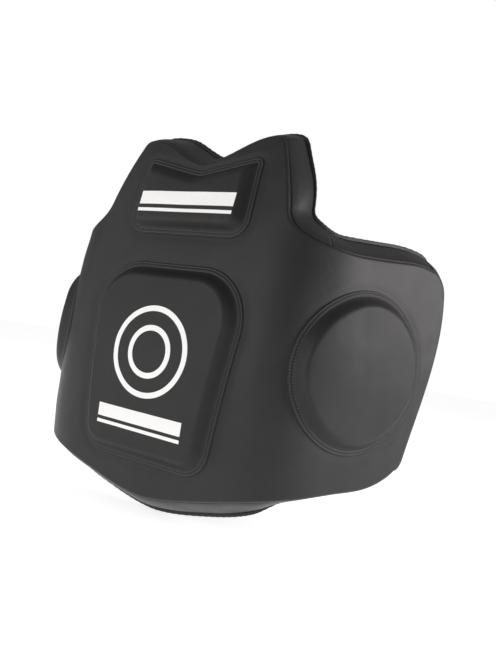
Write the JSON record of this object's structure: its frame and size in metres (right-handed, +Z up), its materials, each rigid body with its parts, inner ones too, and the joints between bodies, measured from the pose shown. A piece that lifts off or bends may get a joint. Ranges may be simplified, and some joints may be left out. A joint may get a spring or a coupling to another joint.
{
  "type": "trainer belly pad",
  "caption": "Curved black padded body shield for a boxing coach, with raised chest, belly and side strike pads, shoulder straps and a buckled waist belt.",
  "frame": {"origin": "on the inner lining's face, at the centreline and at the height of the waist belt, where the pad meets the wearer's torso", "axes": "+Z up as worn, -Y forwards, +X to the wearer's left"},
  "size_m": [0.6556, 0.3049, 0.5789],
  "materials": {
    "leather": "satin grained synthetic leather",
    "strike_leather": "matt fine grained synthetic leather",
    "lining": "matt padded nylon cloth",
    "foam": "matt closed cell foam",
    "webbing": "ribbed woven webbing",
    "plastic": "fine textured moulded plastic",
    "print": "satin heat pressed film"
  },
  "bodies": {
    "pad_body": {"outer_shell": "leather", "neck_gusset": "leather", "armhole_gusset_left": "leather", "armhole_gusset_right": "leather", "flank_gusset_left": "leather", "flank_gusset_right": "leather", "rear_gusset_left": "leather", "rear_gusset_right": "leather", "hem_gusset": "leather", "inner_lining": "lining", "impact_foam": "foam", "comfort_foam": "foam", "belly_pad_cover": "strike_leather", "belly_pad_foam": "foam", "chest_pad_cover": "strike_leather", "chest_pad_foam": "foam", "side_pad_cover_left": "strike_leather", "side_pad_cover_right": "strike_leather", "side_pad_foam_left": "foam", "side_pad_foam_right": "foam", "belly_target": "print", "belly_stripes": "print", "chest_stripes": "print", "strap_anchor_left": "leather", "strap_anchor_right": "leather", "shoulder_strap_left": "leather", "shoulder_strap_right": "leather", "shoulder_webbing_left": "webbing", "shoulder_webbing_right": "webbing", "belt_anchor_left": "leather", "belt_anchor_right": "leather", "waist_webbing_left": "webbing", "waist_webbing_right": "webbing", "buckle_socket": "plastic", "buckle_plug": "plastic"},
    "adjuster_left": {"strap_adjuster_left": "plastic"},
    "adjuster_right": {"strap_adjuster_right": "plastic"},
    "keeper_left": {"belt_keeper_left": "webbing"},
    "keeper_right": {"belt_keeper_right": "webbing"},
    "latch_upper": {"buckle_arm_upper": "plastic"},
    "latch_lower": {"buckle_arm_lower": "plastic"}
  },
  "joints": [
    {"name": "strap_adjust_left", "type": "slide", "parent": "pad_body", "child": "adjuster_left", "axis": [-0.1128, 0.5025, -0.8572], "range_m": [-0.04, 0.045]},
    {"name": "strap_adjust_right", "type": "slide", "parent": "pad_body", "child": "adjuster_right", "axis": [0.1128, 0.5025, -0.8572], "range_m": [-0.04, 0.045]},
    {"name": "keeper_slide_left", "type": "slide", "parent": "pad_body", "child": "keeper_left", "axis": [1, 0, 0], "range_m": [0, 0.06]},
    {"name": "keeper_slide_right", "type": "slide", "parent": "pad_body", "child": "keeper_right", "axis": [-1, 0, 0], "range_m": [0, 0.06]},
    {"name": "latch_press_upper", "type": "slide", "parent": "pad_body", "child": "latch_upper", "axis": [0, 0, -1], "range_m": [0, 0.0035], "stiffness_N_per_m": 400},
    {"name": "latch_press_lower", "type": "slide", "parent": "pad_body", "child": "latch_lower", "axis": [0, 0, 1], "range_m": [0, 0.0035], "stiffness_N_per_m": 400}
  ]
}
